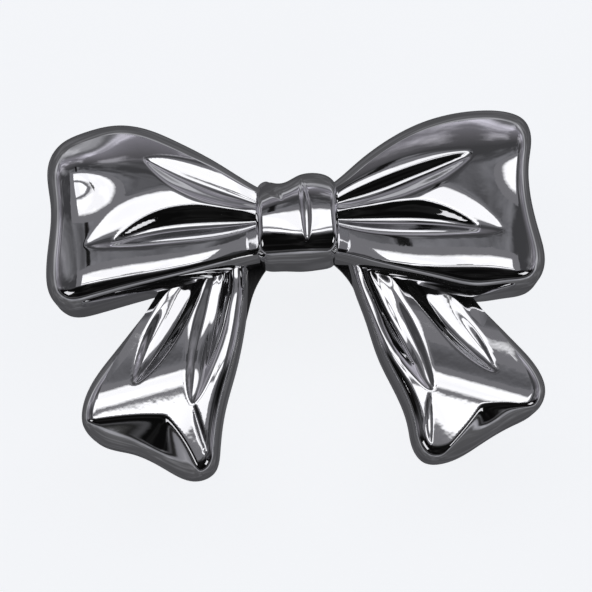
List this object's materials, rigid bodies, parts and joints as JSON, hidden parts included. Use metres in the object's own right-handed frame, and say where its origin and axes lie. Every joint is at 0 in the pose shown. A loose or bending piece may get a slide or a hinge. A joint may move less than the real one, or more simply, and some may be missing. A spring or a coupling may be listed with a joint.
{
  "type": "gift bow",
  "caption": "Hard moulded, mirror-plated stick-on bow with puffed loops, a pleated knot and splayed tails, on foam adhesive pads with peel-off liners.",
  "frame": {"origin": "underside of the liner below the middle of the knot, on the surface the bow lies on", "axes": "+X towards the right-hand loop, +Y away from the tails, +Z out of the bow's face"},
  "size_m": [0.1, 0.0725, 0.0207],
  "materials": {
    "mirror_plating": "smooth dark mirror, vacuum-plated over moulded plastic",
    "moulded_back": "satin dark grey moulding",
    "spring_steel": "plain spring steel",
    "foam": "fine closed-cell foam, white",
    "release_paper": "smooth waxed liner"
  },
  "bodies": {
    "bow": {"knot_shell": "mirror_plating", "left_loop_shell": "mirror_plating", "right_loop_shell": "mirror_plating", "left_tail_shell": "mirror_plating", "right_tail_shell": "mirror_plating", "left_loop_back": "moulded_back", "right_loop_back": "moulded_back", "left_tail_back": "moulded_back", "right_tail_back": "moulded_back", "push_nuts": "spring_steel", "knot_foam_pad": "foam", "left_tail_foam_pad": "foam", "right_tail_foam_pad": "foam"},
    "knot_liner_sheet": {"knot_liner": "release_paper"},
    "left_tail_liner_sheet": {"left_tail_liner": "release_paper"},
    "right_tail_liner_sheet": {"right_tail_liner": "release_paper"}
  },
  "joints": [
    {"name": "knot_liner_peel", "type": "hinge", "parent": "bow", "child": "knot_liner_sheet", "pos_m": [0, -0.0086, 0.0001], "axis": [-1, 0, 0], "range_deg": [0, 170]},
    {"name": "left_tail_liner_peel", "type": "hinge", "parent": "bow", "child": "left_tail_liner_sheet", "pos_m": [-0.02017, -0.02167, 0.0001], "axis": [0.848, -0.5299, 0], "range_deg": [0, 170]},
    {"name": "right_tail_liner_peel", "type": "hinge", "parent": "bow", "child": "right_tail_liner_sheet", "pos_m": [0.02017, -0.02167, 0.0001], "axis": [0.848, 0.5299, 0], "range_deg": [0, 170]}
  ]
}
